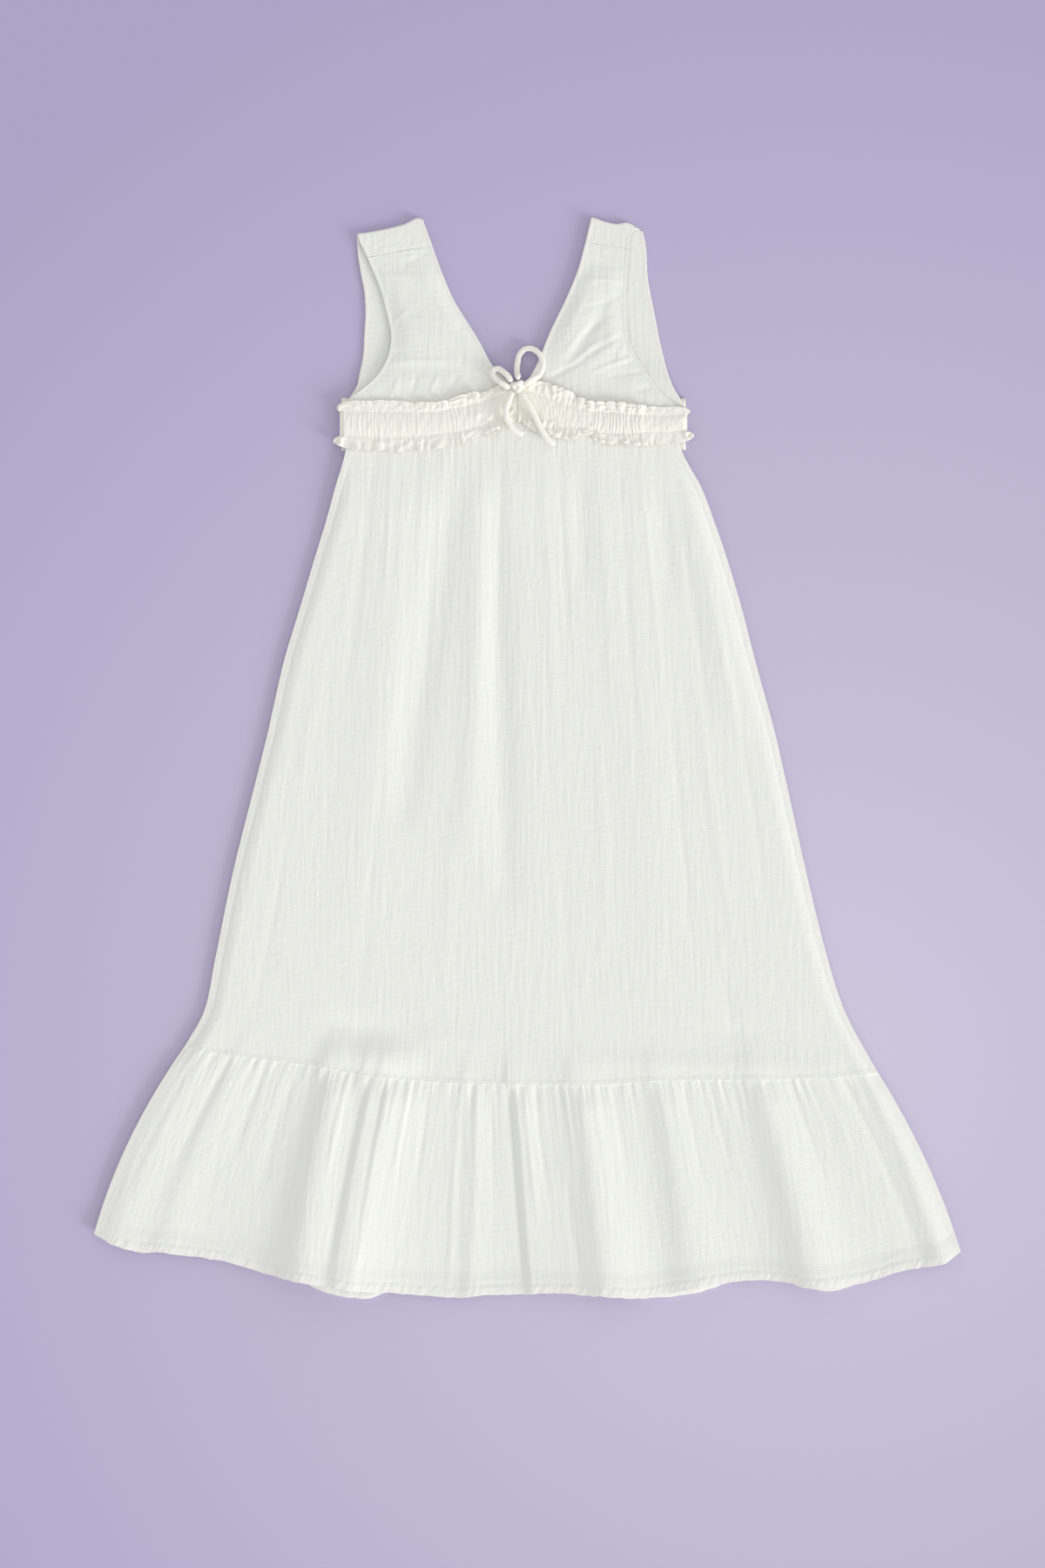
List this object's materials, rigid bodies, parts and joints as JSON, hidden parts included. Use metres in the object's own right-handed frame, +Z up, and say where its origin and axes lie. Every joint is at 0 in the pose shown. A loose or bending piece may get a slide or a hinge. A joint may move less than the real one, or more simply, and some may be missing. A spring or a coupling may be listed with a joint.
{
  "type": "girls muslin dress",
  "caption": "Sleeveless crinkled-muslin dress laid flat: V neck, wide straps, shirred ruffled waistband with drawstring bow, A-line skirt, gathered flounce at the hem.",
  "frame": {"origin": "middle of the dress's bounding box, on the surface that its back lies on", "axes": "+Y along the dress from hem to neck, +X to the right of the picture, +Z up out of the surface, with the front of the dress facing up"},
  "size_m": [0.7209, 0.8997, 0.0188],
  "materials": {
    "muslin": "matt crinkled cotton double gauze, off-white",
    "muslin_band": "the same gauze, shirred, a little warmer and denser",
    "drawstring": "matt sewn cotton cord, off-white"
  },
  "bodies": {
    "root": {"bodice_front_left": "muslin", "bodice_front_right": "muslin", "bodice_back_left": "muslin", "bodice_back_right": "muslin", "waistband_front_left": "muslin_band", "waistband_front_right": "muslin_band", "waistband_back": "muslin_band", "skirt_front": "muslin", "skirt_back": "muslin", "flounce_front": "muslin", "flounce_back": "muslin", "drawstring_knot": "drawstring", "drawstring_loop_left": "drawstring", "drawstring_loop_right": "drawstring", "drawstring_tail_left": "drawstring", "drawstring_tail_right": "drawstring"}
  },
  "joints": []
}
